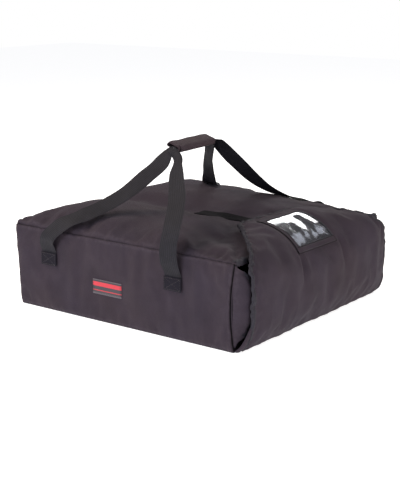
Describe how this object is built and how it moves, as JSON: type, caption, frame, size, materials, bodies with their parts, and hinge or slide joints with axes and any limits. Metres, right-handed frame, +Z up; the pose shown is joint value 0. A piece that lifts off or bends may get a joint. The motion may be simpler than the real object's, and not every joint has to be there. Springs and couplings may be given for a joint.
{
  "type": "pizza delivery bag",
  "caption": "Low square insulated carry bag with a padded fold-over front flap, side wings, a clear card pocket, and webbing straps meeting in a wrapped top handle.",
  "frame": {"origin": "on the floor under the middle of the base panel", "axes": "+Z up; -Y toward the open front with its flap; +X to the right seen from the front"},
  "size_m": [0.5599, 0.5667, 0.3337],
  "materials": {
    "cloth": "charcoal woven polyester with a water-resistant backing",
    "padding": "white polyester batting",
    "lining": "smooth black woven nylon",
    "binding": "ribbed grosgrain tape",
    "webbing": "ribbed polypropylene webbing",
    "loop": "soft looped pile",
    "hook": "stiff hooked tape",
    "label": "woven dark grey patch with plain red bands",
    "film": "clear soft vinyl"
  },
  "bodies": {
    "bag": {"base_shell": "cloth", "base_padding": "padding", "base_lining": "lining", "back_shell": "cloth", "back_padding": "padding", "back_lining": "lining", "left_shell": "cloth", "left_padding": "padding", "left_lining": "lining", "right_shell": "cloth", "right_padding": "padding", "right_lining": "lining", "top_shell": "cloth", "top_padding": "padding", "top_lining": "lining", "top_loop_strip": "loop", "top_front_binding": "binding", "strap_rear": "webbing", "strap_front": "webbing", "strap_patch_rear_left": "cloth", "strap_patch_front_left": "cloth", "strap_patch_rear_right": "cloth", "strap_patch_front_right": "cloth", "side_label": "label"},
    "flap_lower": {"flap_lower_shell": "cloth", "flap_lower_padding": "padding", "flap_lower_lining": "lining", "flap_binding_lower_left": "binding", "flap_binding_lower_right": "binding", "pocket_film_lower": "film", "pocket_frame_lower": "binding"},
    "flap_upper": {"flap_upper_shell": "cloth", "flap_upper_padding": "padding", "flap_upper_lining": "lining", "flap_binding_upper": "binding", "flap_hook_strip": "hook", "pocket_film_upper": "film", "pocket_frame_upper": "binding"},
    "wing_left": {"wing_left_shell": "cloth", "wing_left_padding": "padding", "wing_left_lining": "lining", "wing_left_binding": "binding"},
    "wing_right": {"wing_right_shell": "cloth", "wing_right_padding": "padding", "wing_right_lining": "lining", "wing_right_binding": "binding"},
    "handle": {"grip_wrap": "cloth", "grip_loop_tape": "loop"},
    "grip_cover": {"grip_closure": "cloth", "grip_hook_tape": "hook"}
  },
  "joints": [
    {"name": "flap_open", "type": "hinge", "parent": "bag", "child": "flap_lower", "pos_m": [0, -0.285, 0.007], "axis": [1, 0, 0], "range_deg": [0, 80]},
    {"name": "flap_unfold", "type": "hinge", "parent": "flap_lower", "child": "flap_upper", "pos_m": [0, -0.2722, 0.1755], "axis": [1, 0, 0], "range_deg": [0, 80]},
    {"name": "wing_left_swing", "type": "hinge", "parent": "bag", "child": "wing_left", "pos_m": [-0.2585, -0.26665, 0], "axis": [0, 0, -1], "range_deg": [0, 80]},
    {"name": "wing_right_swing", "type": "hinge", "parent": "bag", "child": "wing_right", "pos_m": [0.2585, -0.26665, 0], "axis": [0, 0, 1], "range_deg": [0, 80]},
    {"name": "handle_drop", "type": "slide", "parent": "bag", "child": "handle", "axis": [0, 0, -1], "range_m": [0, 0.095], "deforming": ["strap_rear", "strap_front"]},
    {"name": "grip_cover_open", "type": "hinge", "parent": "handle", "child": "grip_cover", "pos_m": [0, 0.0155, 0.3337], "axis": [-1, 0, 0], "range_deg": [0, 120]}
  ],
  "couplings": [
    {"joint": "wing_left_swing", "follows": "flap_open", "ratio": 1},
    {"joint": "wing_right_swing", "follows": "flap_open", "ratio": 1}
  ]
}
